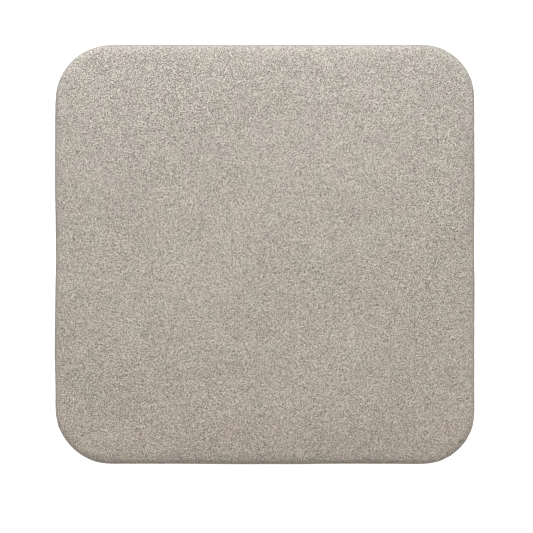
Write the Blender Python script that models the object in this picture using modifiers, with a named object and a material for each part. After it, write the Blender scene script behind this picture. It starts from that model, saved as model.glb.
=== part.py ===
"""A height-adjustable shower stool with a padded, terry-covered square seat.

The origin lies on the floor under the middle of the seat. +Z is up and -Y is the front.
Every leg is drawn out to its highest setting, with its snap button in the lowest hole.
All sizes are in metres.
"""

import math

import bmesh
import bpy
from mathutils import Matrix

# Seat: terry cover, foam pad and moulded board
SEAT_WIDTH = 0.380
SEAT_HEIGHT = 0.540  # top of the cover, at the highest setting
CORNER_RADIUS = 0.051
TOP_EDGE_RADIUS = 0.016
BOTTOM_EDGE_RADIUS = 0.011
COVER_THICKNESS = 0.0025
HEM_WIDTH = 0.022  # how far the cover is tucked in under the board
ELASTIC_RADIUS = 0.002
FOAM_THICKNESS = 0.018
BOARD_DEPTH = 0.014
BOARD_SKIN = 0.004
RIB_PITCH = 0.046
RIB_THICKNESS = 0.004
DRAIN_RADIUS = 0.004

# Legs: sockets under the board, tubes, extensions, snap buttons and feet
LEG_OFFSET = 0.122  # from the middle of the seat to a leg's top, along X and along Y
SPLAY = math.radians(4.5)
FLANGE_WIDTH = 0.060
FLANGE_THICKNESS = 0.005
BOSS_RADII = (0.019, 0.022)  # bottom, top
BOSS_LENGTH = 0.050
TUBE_RADIUS = 0.0143
TUBE_WALL = 0.0015
TUBE_TOP = 0.006  # distances down a leg's axis, from the underside of the board
TUBE_BOTTOM = 0.300
RIVET_DROP = 0.026
EXTENSION_RADIUS = 0.0125
EXTENSION_WALL = 0.0014
EXTENSION_TOP = 0.205
HOLE_COUNT = 7
HOLE_PITCH = 0.020
LOWEST_HOLE = 0.275
HOLE_RADIUS = 0.0034
FOOT_RADIUS = 0.021
FOOT_HEIGHT = 0.040
FOOT_SOLE = 0.0082
FOOT_WALLS = (0.0024, 0.0032, 0.0037)  # neck wall: at its rim, under the rim, above the flare
FOOT_RIM_HEIGHT = 0.003
FOOT_FLARE = (0.006, 0.016)  # heights between which the foot widens to its full radius
COLLAR_WALL = 0.0025
COLLAR_RIM_WALL = 0.0017
COLLAR_RIM_HEIGHT = 0.003
COLLAR_LENGTH = 0.016  # up the outer tube
COLLAR_LIP = 0.0037  # below the outer tube's end
COLLAR_PLAY = 0.00035  # between the lip and the sliding extension

# Snap button and its spring; a button's levels are distances from the leg's axis
BUTTON_RADIUS = 0.0030
BUTTON_TIP = 0.0163
BUTTON_CROWN = 0.0160
BUTTON_SHOULDER = 0.0149
BUTTON_FLANGE = (0.0086, 0.0100)  # inner and outer face of the flange that keeps it in
BUTTON_FLANGE_LIP = 0.0008
SPRING_WIDTH = 0.008
SPRING_THICKNESS = 0.0006
SPRING_OUTLINE = (
    # distance from the axis, and height above the button's own
    (0.0080, -0.006),
    (0.0080, 0.008),
    (0.0020, 0.034),
    (-0.0005, 0.037),
    (-0.0030, 0.034),
    (-0.0094, 0.002),
)

# Cross brace between the legs
CLIP_DROP = 0.130
CLIP_HEIGHT = 0.020
CLIP_RADIUS = 0.0178
LUG_REACH = 0.040
LUG_HOLE_REACH = 0.031
LUG_THICKNESS = 0.005
LUG_CORNER = 0.008
SPACER_RADIUS = 0.007
STRIP_WIDTH = 0.018
STRIP_THICKNESS = 0.003

# Fasteners
SCREW_RADIUS = 0.0020
SCREW_HEAD_RADIUS = 0.0045
SCREW_HEAD_HEIGHT = 0.0024
SCREW_OFFSET = 0.031  # either side of a leg, across its diagonal
SCREW_DEPTH = 0.010  # into the board
SCREW_POINT = 0.0015  # length of the bevel at a screw's end
SCREW_STICK_OUT = 0.002  # of the brace screws, beyond the lug
RIVET_RADIUS = 0.0025
RIVET_HEAD_RADIUS = 0.005
RIVET_HEAD_HEIGHT = 0.0018

GAP = 0.0003  # left between pieces that touch
HOLE_CLEARANCE = 0.0004  # between a fastener and its hole

# Resolution of the round shapes
CORNER_SEGMENTS = 8
EDGE_SEGMENTS = 4
ROUND_STEPS = 20
SMALL_STEPS = 8

# Levels and lengths that follow from the sizes above
COVER_INSET = COVER_THICKNESS + GAP
FOAM_TOP = SEAT_HEIGHT - COVER_INSET
BOARD_TOP = FOAM_TOP - FOAM_THICKNESS - GAP
BOARD_BOTTOM = BOARD_TOP - BOARD_DEPTH
COVER_BOTTOM = BOARD_BOTTOM - COVER_INSET
CORE_WIDTH = SEAT_WIDTH - 2 * COVER_INSET
SOCKET_TOP = BOARD_BOTTOM - GAP
LEG_LENGTH = SOCKET_TOP / math.cos(SPLAY)  # down a leg's axis to the floor
TUBE_BORE = TUBE_RADIUS - TUBE_WALL

CORNERS = {
    "front_left": (-1, -1),
    "front_right": (1, -1),
    "back_right": (1, 1),
    "back_left": (-1, 1),
}


def clear_scene():
    for obj in list(bpy.data.objects):
        bpy.data.objects.remove(obj, do_unlink=True)


def new_collection(name, hidden=False):
    collection = bpy.data.collections.new(name)
    collection.hide_render = hidden
    bpy.context.scene.collection.children.link(collection)
    return collection


def new_material(name, colour, roughness, metallic=0.0):
    material = bpy.data.materials.new(name)
    material.use_nodes = True
    shader = material.node_tree.nodes["Principled BSDF"]
    shader.inputs["Base Color"].default_value = (*colour, 1.0)
    shader.inputs["Roughness"].default_value = roughness
    shader.inputs["Metallic"].default_value = metallic
    return material


def mesh_of(bm, name):
    bmesh.ops.recalc_face_normals(bm, faces=bm.faces)
    mesh = bpy.data.meshes.new(name)
    bm.to_mesh(mesh)
    bm.free()
    return mesh


def baked(obj):
    """The mesh of an object with its modifiers applied; the object and its own data go."""
    bpy.context.view_layer.update()
    graph = bpy.context.evaluated_depsgraph_get()
    mesh = bpy.data.meshes.new_from_object(obj.evaluated_get(graph))
    bpy.data.objects.remove(obj, do_unlink=True)
    return mesh


def part(name, mesh, material, parent=None, matrix=None):
    """A finished sub-part, in the object's own collection."""
    obj = bpy.data.objects.new(name, mesh)
    PARTS.objects.link(obj)
    if not mesh.materials:
        mesh.materials.append(material)
    mesh.shade_smooth()
    mesh.set_sharp_from_angle(angle=math.radians(35))
    if parent:
        obj.parent = parent
    if matrix:
        obj.matrix_local = matrix
    return obj


def cutter(name, mesh):
    obj = bpy.data.objects.new(name, mesh)
    CUTTERS.objects.link(obj)
    obj.hide_render = True
    obj.display_type = "WIRE"
    return obj


def boolean(obj, other, operation="DIFFERENCE"):
    modifier = obj.modifiers.new(f"{operation.title()} {other.name}", "BOOLEAN")
    modifier.operation = operation
    modifier.solver = "EXACT"
    modifier.object = other


def box(size, centre=(0, 0, 0)):
    bm = bmesh.new()
    bmesh.ops.create_cube(bm, size=1.0)
    bmesh.ops.scale(bm, vec=size, verts=bm.verts)
    bmesh.ops.translate(bm, vec=centre, verts=bm.verts)
    return bm


def round_upright_edges(bm, radius, segments, chosen=lambda edge: True):
    """Rounds the vertical edges of a box, so that its outline gets round corners."""
    upright = [
        edge
        for edge in bm.edges
        if abs(edge.verts[0].co.z - edge.verts[1].co.z) > 1e-6 and chosen(edge)
    ]
    bmesh.ops.bevel(
        bm,
        geom=upright,
        offset=radius,
        segments=segments,
        profile=0.5,
        affect="EDGES",
    )


def round_rim(bm, level, radius):
    """Rounds the rim of the flat face at the given level."""
    rim = [
        edge
        for edge in bm.edges
        if all(abs(vert.co.z - level) < 1e-6 for vert in edge.verts)
    ]
    bmesh.ops.bevel(
        bm,
        geom=rim,
        offset=radius,
        segments=EDGE_SEGMENTS,
        profile=0.5,
        affect="EDGES",
    )


def rounded_slab(width, bottom, top, corner_radius):
    bm = box((width, width, top - bottom), (0, 0, (top + bottom) / 2))
    round_upright_edges(bm, corner_radius, CORNER_SEGMENTS)
    return bm


def rod(radius, low, high, steps=SMALL_STEPS, top_radius=None):
    """A cylinder or cone about Z between two levels."""
    bm = bmesh.new()
    bmesh.ops.create_cone(
        bm,
        cap_ends=True,
        segments=steps,
        radius1=radius,
        radius2=radius if top_radius is None else top_radius,
        depth=high - low,
    )
    bmesh.ops.translate(bm, vec=(0, 0, (low + high) / 2), verts=bm.verts)
    return bm


def rod_mesh(name, radius, low, high, matrix=None, steps=SMALL_STEPS):
    mesh = mesh_of(rod(radius, low, high, steps), name)
    if matrix:
        mesh.transform(matrix)
    return mesh


def joined(name, meshes):
    """Several separate closed meshes as one, for a cutter."""
    bm = bmesh.new()
    for mesh in meshes:
        bm.from_mesh(mesh)
        bpy.data.meshes.remove(mesh)
    return mesh_of(bm, name)


def turned(name, profile, steps, closed=False):
    """A helper object with a profile of (radius, z) points turned about Z.

    The profile runs down the outer side. A closed one makes a ring or a tube.
    """
    mesh = bpy.data.meshes.new(name)
    edges = [(i, i + 1) for i in range(len(profile) - 1)]
    if closed:
        edges.append((len(profile) - 1, 0))
    mesh.from_pydata([(radius, 0, z) for radius, z in profile], edges, [])
    obj = bpy.data.objects.new(name, mesh)
    CUTTERS.objects.link(obj)
    screw = obj.modifiers.new("Screw", "SCREW")
    screw.axis = "Z"
    screw.steps = steps
    screw.render_steps = steps
    screw.use_merge_vertices = True
    screw.merge_threshold = 0.00001
    return obj


def tube_profile(outer, inner, top, bottom):
    return [(outer, top), (outer, bottom), (inner, bottom), (inner, top)]


def along_x(distance=0.0, z=0.0):
    """Lays a shape made about Z along +X."""
    return Matrix.Translation((distance, 0, z)) @ Matrix.Rotation(math.pi / 2, 4, "Y")


def along_y(z=0.0):
    """Lays a shape made about Z along Y."""
    return Matrix.Translation((0, 0, z)) @ Matrix.Rotation(math.pi / 2, 4, "X")


def rivet_mesh(name, half_grip, head_radius):
    """A rivet about Z with a head at each end of its grip."""
    head_top = half_grip + RIVET_HEAD_HEIGHT
    profile = [
        (0, head_top),
        (0.7 * head_radius, head_top),
        (head_radius, half_grip),
        (RIVET_RADIUS, half_grip),
        (RIVET_RADIUS, -half_grip),
        (head_radius, -half_grip),
        (0.7 * head_radius, -head_top),
        (0, -head_top),
    ]
    return baked(turned(name, profile, SMALL_STEPS))


def screw_mesh(name, length):
    """A pan-head screw that points up, with the underside of its head at z = 0."""
    profile = [
        (0, length),
        (0.6 * SCREW_RADIUS, length),
        (SCREW_RADIUS, length - SCREW_POINT),
        (SCREW_RADIUS, 0),
        (SCREW_HEAD_RADIUS, 0),
        (0.8 * SCREW_HEAD_RADIUS, -SCREW_HEAD_HEIGHT),
        (0, -SCREW_HEAD_HEIGHT),
    ]
    return baked(turned(name, profile, SMALL_STEPS))


# --- Seat -------------------------------------------------------------------


def make_seat_cover():
    """Terry cover: over the pad, round its edge and in under the board, open below."""
    bm = rounded_slab(SEAT_WIDTH, COVER_BOTTOM, SEAT_HEIGHT, CORNER_RADIUS)
    round_rim(bm, SEAT_HEIGHT, TOP_EDGE_RADIUS)
    round_rim(bm, COVER_BOTTOM, BOTTOM_EDGE_RADIUS)
    underside = min(bm.faces, key=lambda face: face.calc_center_median().z)
    bmesh.ops.inset_region(
        bm,
        faces=[underside],
        thickness=HEM_WIDTH - BOTTOM_EDGE_RADIUS,
        use_even_offset=True,
    )
    bmesh.ops.delete(bm, geom=[underside], context="FACES_ONLY")
    cover = part("seat_cover", mesh_of(bm, "seat_cover"), TERRY)
    solidify = cover.modifiers.new("Cloth thickness", "SOLIDIFY")
    solidify.thickness = COVER_THICKNESS
    solidify.offset = -1
    solidify.use_even_offset = True


def make_foam_pad():
    radius = CORNER_RADIUS - COVER_INSET
    bm = rounded_slab(CORE_WIDTH, FOAM_TOP - FOAM_THICKNESS, FOAM_TOP, radius)
    round_rim(bm, FOAM_TOP, TOP_EDGE_RADIUS - COVER_INSET)
    part("foam_pad", mesh_of(bm, "foam_pad"), FOAM)


def make_cover_elastic():
    """The elastic cord that the hem is gathered on: a closed loop under the board."""
    half = SEAT_WIDTH / 2 - HEM_WIDTH - GAP - ELASTIC_RADIUS
    radius = CORNER_RADIUS - HEM_WIDTH - GAP - ELASTIC_RADIUS
    points = []
    for quarter in range(4):
        start = quarter * math.pi / 2
        centre = complex(half - radius, half - radius) * complex(0, 1) ** quarter
        for step in range(CORNER_SEGMENTS + 1):
            angle = start + step * math.pi / 2 / CORNER_SEGMENTS
            point = centre + radius * complex(math.cos(angle), math.sin(angle))
            points.append((point.real, point.imag, 0, 1))
    curve = bpy.data.curves.new("cover_elastic", "CURVE")
    curve.dimensions = "3D"
    curve.bevel_depth = ELASTIC_RADIUS
    curve.bevel_resolution = 1
    spline = curve.splines.new("POLY")
    spline.points.add(len(points) - 1)
    for place, point in zip(spline.points, points):
        place.co = point
    spline.use_cyclic_u = True
    curve.materials.append(ELASTIC)
    obj = bpy.data.objects.new("cover_elastic", curve)
    PARTS.objects.link(obj)
    obj.location.z = BOARD_BOTTOM - GAP - ELASTIC_RADIUS


def corner_matrix(corner):
    """The frame of a leg's top: on the underside of the board, +X pointing outwards."""
    across, along = CORNERS[corner]
    place = Matrix.Translation((across * LEG_OFFSET, along * LEG_OFFSET, SOCKET_TOP))
    return place @ Matrix.Rotation(math.atan2(along, across), 4, "Z")


def board_pockets():
    """The pockets between the ribs, leaving four solid squares over the leg sockets."""
    size = RIB_PITCH - RIB_THICKNESS
    depth = BOARD_DEPTH - BOARD_SKIN
    places = [
        (i, j)
        for i in range(-3, 4)
        for j in range(-3, 4)
        if abs(i) < 2 or abs(j) < 2
    ]
    pockets = []
    for i, j in places:
        centre = (i * RIB_PITCH, j * RIB_PITCH, BOARD_BOTTOM)
        pockets.append(mesh_of(box((size, size, 2 * depth), centre), "pocket"))
    return cutter("pocket_cutter", joined("pocket_cutter", pockets))


def board_holes():
    """Drain holes in every other pocket near the middle, and blind holes for the screws."""
    drains = [
        rod_mesh(
            "drain",
            DRAIN_RADIUS,
            BOARD_BOTTOM - 0.01,
            BOARD_TOP + 0.01,
            Matrix.Translation((i * RIB_PITCH, j * RIB_PITCH, 0)),
        )
        for i in range(-2, 3)
        for j in range(-2, 3)
        if (i + j) % 2 == 0 and abs(i) + abs(j) < 4
    ]
    screws = [
        rod_mesh(
            "screw_hole",
            SCREW_RADIUS + HOLE_CLEARANCE,
            -0.01,
            GAP + SCREW_DEPTH + 0.001,
            corner_matrix(corner) @ Matrix.Translation((0, side * SCREW_OFFSET, 0)),
        )
        for corner in CORNERS
        for side in (-1, 1)
    ]
    return cutter("board_hole_cutter", joined("board_hole_cutter", drains + screws))


def make_seat_board():
    """Moulded board, ribbed below, with drain holes."""
    radius = CORNER_RADIUS - COVER_INSET
    bm = rounded_slab(CORE_WIDTH, BOARD_BOTTOM, BOARD_TOP, radius)
    round_rim(bm, BOARD_BOTTOM, BOTTOM_EDGE_RADIUS - COVER_INSET)
    board = part("seat_board", mesh_of(bm, "seat_board"), BOARD_PLASTIC)
    boolean(board, board_pockets())
    boolean(board, board_holes())


# --- Legs: each prototype is made about a leg's axis, with the board at z = 0 ---


def socket_mesh():
    """Flange and bored boss, in a corner's frame, so that the boss leans with the leg."""
    lean = Matrix.Rotation(-SPLAY, 4, "Y")
    size = (FLANGE_WIDTH, FLANGE_WIDTH, FLANGE_THICKNESS)
    bm = box(size, (0, 0, -FLANGE_THICKNESS / 2))
    round_upright_edges(bm, FLANGE_WIDTH / 6, 3)
    bmesh.ops.rotate(bm, matrix=Matrix.Rotation(math.pi / 4, 3, "Z"), verts=bm.verts)
    socket = bpy.data.objects.new("socket", mesh_of(bm, "socket"))
    CUTTERS.objects.link(socket)

    boss = mesh_of(rod(BOSS_RADII[0], -BOSS_LENGTH, -0.003, ROUND_STEPS, BOSS_RADII[1]), "boss")
    boss.transform(lean)
    boolean(socket, cutter("boss", boss), "UNION")

    bore_top = -(TUBE_TOP - GAP)
    bore = rod_mesh("bore", TUBE_RADIUS + GAP, -0.07, bore_top, lean, ROUND_STEPS)
    boolean(socket, cutter("socket_bore", bore))

    half = BOSS_RADII[1] + 0.01
    across = lean @ along_y(-RIVET_DROP)
    holes = [rod_mesh("hole", RIVET_RADIUS + HOLE_CLEARANCE, -half, half, across)]
    for side in (-1, 1):
        place = Matrix.Translation((0, side * SCREW_OFFSET, 0))
        holes.append(rod_mesh("hole", SCREW_RADIUS + HOLE_CLEARANCE, -0.01, 0.01, place))
    boolean(socket, cutter("socket_holes", joined("socket_holes", holes)))
    return baked(socket)


def leg_tube_mesh():
    """Outer tube, with a row of holes down its outer side for the snap button."""
    profile = tube_profile(TUBE_RADIUS, TUBE_BORE, -TUBE_TOP, -TUBE_BOTTOM)
    tube = turned("leg_tube", profile, ROUND_STEPS, closed=True)
    reach = TUBE_RADIUS + 0.01
    holes = [
        rod_mesh("hole", HOLE_RADIUS, 0, reach, along_x(0, index * HOLE_PITCH - LOWEST_HOLE))
        for index in range(HOLE_COUNT)
    ]
    rivet_hole = RIVET_RADIUS + HOLE_CLEARANCE
    holes.append(rod_mesh("hole", rivet_hole, -reach, reach, along_y(-RIVET_DROP)))
    boolean(tube, cutter("tube_holes", joined("tube_holes", holes)))
    return baked(tube)


def leg_collar_mesh():
    """Plastic collar on the tube's lower end, whose lip guides the extension."""
    lip_top = -TUBE_BOTTOM - GAP
    sleeve_top = -TUBE_BOTTOM + COLLAR_LENGTH
    bottom = lip_top - COLLAR_LIP
    profile = [
        (TUBE_RADIUS + COLLAR_RIM_WALL, sleeve_top),
        (TUBE_RADIUS + COLLAR_WALL, sleeve_top - COLLAR_RIM_HEIGHT),
        (TUBE_RADIUS + COLLAR_WALL, bottom),
        (EXTENSION_RADIUS + COLLAR_PLAY, bottom),
        (EXTENSION_RADIUS + COLLAR_PLAY, lip_top),
        (TUBE_RADIUS + GAP, lip_top),
        (TUBE_RADIUS + GAP, sleeve_top),
    ]
    return baked(turned("leg_collar", profile, ROUND_STEPS, closed=True))


def extension_mesh():
    """Inner tube, with one hole for the snap button; it stands on the foot's sole."""
    bottom = -(LEG_LENGTH - FOOT_SOLE - GAP)
    bore = EXTENSION_RADIUS - EXTENSION_WALL
    profile = tube_profile(EXTENSION_RADIUS, bore, -EXTENSION_TOP, bottom)
    tube = turned("leg_extension", profile, ROUND_STEPS, closed=True)
    hole = rod_mesh("hole", HOLE_RADIUS, 0, 0.03, along_x(0, -LOWEST_HOLE))
    boolean(tube, cutter("extension_hole", hole))
    return baked(tube)


def foot_mesh():
    """Rubber foot, cut level with the floor although the leg leans."""
    floor = -LEG_LENGTH
    top = floor + FOOT_HEIGHT
    bore = EXTENSION_RADIUS + GAP
    rim_wall, neck_wall, base_wall = FOOT_WALLS
    flare_low, flare_high = FOOT_FLARE
    uncut = floor - 0.004
    profile = [
        (0, floor + FOOT_SOLE),
        (bore, floor + FOOT_SOLE),
        (bore, top),
        (bore + rim_wall, top),
        (bore + neck_wall, top - FOOT_RIM_HEIGHT),
        (bore + base_wall, floor + flare_high),
        (FOOT_RADIUS, floor + flare_low),
        (FOOT_RADIUS, uncut),
        (0, uncut),
    ]
    foot = turned("foot", profile, ROUND_STEPS)
    under = mesh_of(box((0.1, 0.1, 0.02), (0, 0, -0.01)), "under_floor")
    under.transform(Matrix.Translation((0, 0, floor)) @ Matrix.Rotation(SPLAY, 4, "Y"))
    boolean(foot, cutter("under_floor", under))
    return baked(foot)


def button_mesh():
    """Snap button along +X from the leg's axis: dome, shank and retaining flange."""
    inner, outer = BUTTON_FLANGE
    profile = [
        (0, BUTTON_TIP),
        (0.6 * BUTTON_RADIUS, BUTTON_CROWN),
        (BUTTON_RADIUS, BUTTON_SHOULDER),
        (BUTTON_RADIUS, outer),
        (BUTTON_RADIUS + BUTTON_FLANGE_LIP, outer),
        (BUTTON_RADIUS + BUTTON_FLANGE_LIP, inner),
        (0, inner),
    ]
    mesh = baked(turned("snap_button", profile, SMALL_STEPS))
    mesh.transform(along_x())
    return mesh


def make_button_spring(name, axis):
    """V-shaped strip of spring steel inside the extension, pushing the button out."""
    bm = bmesh.new()
    line = [bm.verts.new((x, -SPRING_WIDTH / 2, z - LOWEST_HOLE)) for x, z in SPRING_OUTLINE]
    edges = [bm.edges.new(pair) for pair in zip(line, line[1:])]
    strip = bmesh.ops.extrude_edge_only(bm, edges=edges)["geom"]
    moved = [item for item in strip if isinstance(item, bmesh.types.BMVert)]
    bmesh.ops.translate(bm, vec=(0, SPRING_WIDTH, 0), verts=moved)
    spring = part(name, mesh_of(bm, name), SPRING_STEEL, axis)
    solidify = spring.modifiers.new("Strip thickness", "SOLIDIFY")
    solidify.thickness = SPRING_THICKNESS
    solidify.offset = 0
    solidify.use_even_offset = True


def clip_mesh():
    """Clamp ring round the tube, with a level lug that points to the middle."""
    low = -CLIP_DROP - CLIP_HEIGHT / 2
    high = -CLIP_DROP + CLIP_HEIGHT / 2
    clip = bpy.data.objects.new("clip", mesh_of(rod(CLIP_RADIUS, low, high, ROUND_STEPS), "clip"))
    CUTTERS.objects.link(clip)

    level = Matrix.Translation((0, 0, -CLIP_DROP)) @ Matrix.Rotation(SPLAY, 4, "Y")
    bm = box((LUG_REACH, STRIP_WIDTH + 0.002, LUG_THICKNESS), (-LUG_REACH / 2, 0, 0))
    round_upright_edges(bm, LUG_CORNER, 3, lambda edge: edge.verts[0].co.x < -LUG_REACH / 2)
    lug = mesh_of(bm, "lug")
    lug.transform(level)
    boolean(clip, cutter("lug", lug), "UNION")

    bore = rod_mesh("bore", TUBE_RADIUS + GAP, low - 0.01, high + 0.01, None, ROUND_STEPS)
    boolean(clip, cutter("clip_bore", bore))
    place = level @ Matrix.Translation((-LUG_HOLE_REACH, 0, 0))
    hole = rod_mesh("hole", SCREW_RADIUS + HOLE_CLEARANCE, -0.01, 0.01, place)
    boolean(clip, cutter("clip_hole", hole))
    return baked(clip)


def make_leg(corner, shapes):
    """One leg: everything fixed to the seat, then what slides, then the button."""
    corner_axis = bpy.data.objects.new(f"corner_{corner}", None)
    PARTS.objects.link(corner_axis)
    corner_axis.matrix_world = corner_matrix(corner)
    leg_axis = bpy.data.objects.new(f"leg_axis_{corner}", None)
    PARTS.objects.link(leg_axis)
    leg_axis.parent = corner_axis
    leg_axis.rotation_euler.y = -SPLAY

    part(f"leg_socket_{corner}", shapes["socket"], SOCKET_PLASTIC, corner_axis)
    for label, side in (("a", -1), ("b", 1)):
        place = Matrix.Translation((0, side * SCREW_OFFSET, -FLANGE_THICKNESS - GAP))
        part(f"socket_screw_{label}_{corner}", shapes["screw"], STEEL, corner_axis, place)
    part(f"leg_tube_{corner}", shapes["tube"], ALUMINIUM, leg_axis)
    part(f"leg_collar_{corner}", shapes["collar"], SOCKET_PLASTIC, leg_axis)
    part(f"leg_rivet_{corner}", shapes["rivet"], STEEL, leg_axis, along_y(-RIVET_DROP))
    part(f"brace_clip_{corner}", shapes["clip"], SOCKET_PLASTIC, leg_axis)
    part(f"leg_extension_{corner}", shapes["extension"], ALUMINIUM, leg_axis)
    part(f"foot_{corner}", shapes["foot"], RUBBER, leg_axis)
    button_place = Matrix.Translation((0, 0, -LOWEST_HOLE))
    part(f"snap_button_{corner}", shapes["button"], STEEL, leg_axis, button_place)
    make_button_spring(f"button_spring_{corner}", leg_axis)


# --- Cross brace ------------------------------------------------------------


def make_brace():
    """Two flat strips from leg to leg, over and under the lugs, riveted where they cross."""
    level = SOCKET_TOP - CLIP_DROP * math.cos(SPLAY)
    leg_reach = LEG_OFFSET * math.sqrt(2) + CLIP_DROP * math.sin(SPLAY)
    hole_reach = leg_reach - LUG_HOLE_REACH
    strip_face = LUG_THICKNESS / 2 + GAP
    strip_middle = strip_face + STRIP_THICKNESS / 2
    outer_face = strip_face + STRIP_THICKNESS + GAP

    length = 2 * (hole_reach + STRIP_WIDTH / 2)
    bm = box((length, STRIP_WIDTH, STRIP_THICKNESS))
    round_upright_edges(bm, 0.45 * STRIP_WIDTH, 3)
    strip = bpy.data.objects.new("strip", mesh_of(bm, "strip"))
    CUTTERS.objects.link(strip)
    holes = [
        rod_mesh(
            "hole",
            radius + HOLE_CLEARANCE,
            -0.01,
            0.01,
            Matrix.Translation((reach, 0, 0)),
        )
        for radius, reach in (
            (SCREW_RADIUS, -hole_reach),
            (RIVET_RADIUS, 0),
            (SCREW_RADIUS, hole_reach),
        )
    ]
    boolean(strip, cutter("strip_holes", joined("strip_holes", holes)))
    shape = baked(strip)

    ends = {"upper": ("front_left", "back_right"), "lower": ("front_right", "back_left")}
    screw = screw_mesh("brace_screw", STRIP_THICKNESS + LUG_THICKNESS + SCREW_STICK_OUT)
    for layer, side in (("upper", 1), ("lower", -1)):
        diagonal = CORNERS[ends[layer][1]]
        turn = Matrix.Rotation(math.atan2(diagonal[1], diagonal[0]), 4, "Z")
        lift = Matrix.Translation((0, 0, level + side * strip_middle))
        part(f"brace_strip_{layer}", shape, ALUMINIUM, None, lift @ turn)
        for corner in ends[layer]:
            across, along = CORNERS[corner]
            reach = hole_reach / math.sqrt(2)
            place = (across * reach, along * reach, level + side * outer_face)
            matrix = Matrix.Translation(place)
            if side > 0:
                matrix = matrix @ Matrix.Rotation(math.pi, 4, "X")
            part(f"brace_screw_{corner}", screw, STEEL, None, matrix)

    half_spacer = LUG_THICKNESS / 2
    ring = tube_profile(SPACER_RADIUS, RIVET_RADIUS + HOLE_CLEARANCE, half_spacer, -half_spacer)
    spacer = baked(turned("brace_spacer", ring, SMALL_STEPS, closed=True))
    centre = Matrix.Translation((0, 0, level))
    part("brace_spacer", spacer, SOCKET_PLASTIC, None, centre)
    rivet = rivet_mesh("brace_rivet", outer_face, RIVET_HEAD_RADIUS)
    part("brace_rivet", rivet, STEEL, None, centre)


clear_scene()
PARTS = new_collection("Shower stool")
CUTTERS = new_collection("Cutters", hidden=True)

TERRY = new_material("Terry cloth", (0.45, 0.40, 0.34), 0.95)
FOAM = new_material("Foam", (0.80, 0.78, 0.72), 0.90)
ELASTIC = new_material("Elastic", (0.75, 0.73, 0.68), 0.80)
BOARD_PLASTIC = new_material("Board plastic", (0.80, 0.80, 0.78), 0.45)
SOCKET_PLASTIC = new_material("Socket plastic", (0.42, 0.42, 0.41), 0.50)
ALUMINIUM = new_material("Anodised aluminium", (0.72, 0.72, 0.72), 0.35, 1.0)
STEEL = new_material("Stainless steel", (0.62, 0.62, 0.61), 0.25, 1.0)
SPRING_STEEL = new_material("Spring steel", (0.45, 0.46, 0.48), 0.35, 1.0)
RUBBER = new_material("Rubber", (0.20, 0.20, 0.20), 0.85)

make_seat_cover()
make_foam_pad()
make_cover_elastic()
make_seat_board()

LEG_SHAPES = {
    "socket": socket_mesh(),
    "screw": screw_mesh("socket_screw", FLANGE_THICKNESS + 2 * GAP + SCREW_DEPTH),
    "tube": leg_tube_mesh(),
    "collar": leg_collar_mesh(),
    "rivet": rivet_mesh("leg_rivet", BOSS_RADII[1] - 0.0008, RIVET_HEAD_RADIUS),
    "extension": extension_mesh(),
    "foot": foot_mesh(),
    "button": button_mesh(),
    "clip": clip_mesh(),
}
for name in CORNERS:
    make_leg(name, LEG_SHAPES)
make_brace()
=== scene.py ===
import math

import bmesh
import bpy
import numpy as np
from mathutils import Matrix, Vector


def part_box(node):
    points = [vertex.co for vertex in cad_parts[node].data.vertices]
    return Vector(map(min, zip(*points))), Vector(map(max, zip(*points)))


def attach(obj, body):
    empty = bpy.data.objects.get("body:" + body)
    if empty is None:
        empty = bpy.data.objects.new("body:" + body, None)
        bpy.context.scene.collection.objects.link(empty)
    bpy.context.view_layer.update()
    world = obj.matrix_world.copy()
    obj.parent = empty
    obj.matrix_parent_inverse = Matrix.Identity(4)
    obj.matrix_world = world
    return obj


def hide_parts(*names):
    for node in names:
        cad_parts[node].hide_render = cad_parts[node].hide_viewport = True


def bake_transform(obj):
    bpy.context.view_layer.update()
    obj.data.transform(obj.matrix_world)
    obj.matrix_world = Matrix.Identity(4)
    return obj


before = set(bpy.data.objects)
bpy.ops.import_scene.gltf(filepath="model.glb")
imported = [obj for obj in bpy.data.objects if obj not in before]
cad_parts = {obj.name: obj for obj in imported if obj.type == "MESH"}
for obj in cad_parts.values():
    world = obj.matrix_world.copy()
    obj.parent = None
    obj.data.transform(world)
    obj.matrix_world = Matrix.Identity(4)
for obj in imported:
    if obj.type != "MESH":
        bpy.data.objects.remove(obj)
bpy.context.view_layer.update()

CORNERS = {
    "front_left": (-1, -1),
    "front_right": (1, -1),
    "back_right": (1, 1),
    "back_left": (-1, 1),
}

# --- Seat sizes, from the CAD cover and its neighbours ---
COVER_LOW, COVER_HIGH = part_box("seat_cover")
BOARD_LOW, BOARD_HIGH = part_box("seat_board")
ELASTIC_LOW, ELASTIC_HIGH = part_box("cover_elastic")
SEAT_WIDTH = COVER_HIGH.x - COVER_LOW.x
BOARD_WIDTH = BOARD_HIGH.x - BOARD_LOW.x
CORNER_RADIUS = 0.051
LEFT_CORNER_RADIUS = 0.0505  # the cloth is drawn a little tighter round the right corners
RIGHT_CORNER_RADIUS = 0.0470
TOP_RIM = 0.010
BOTTOM_RIM = 0.011
COVER_THICKNESS = 0.0025
HEM_PLAY = 0.0003  # between the hem and the elastic inside it
HEM_INNER = ELASTIC_HIGH.x + HEM_PLAY  # half width of the opening in the underside of the cover
HEM_RADIUS = CORNER_RADIUS - (SEAT_WIDTH / 2 - HEM_INNER)
RIB_PITCH = 0.046
RIB_THICKNESS = 0.004
BOARD_SKIN = 0.004
DRAIN_RADIUS = 0.004
POCKET_CORNER = 0.004

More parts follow.
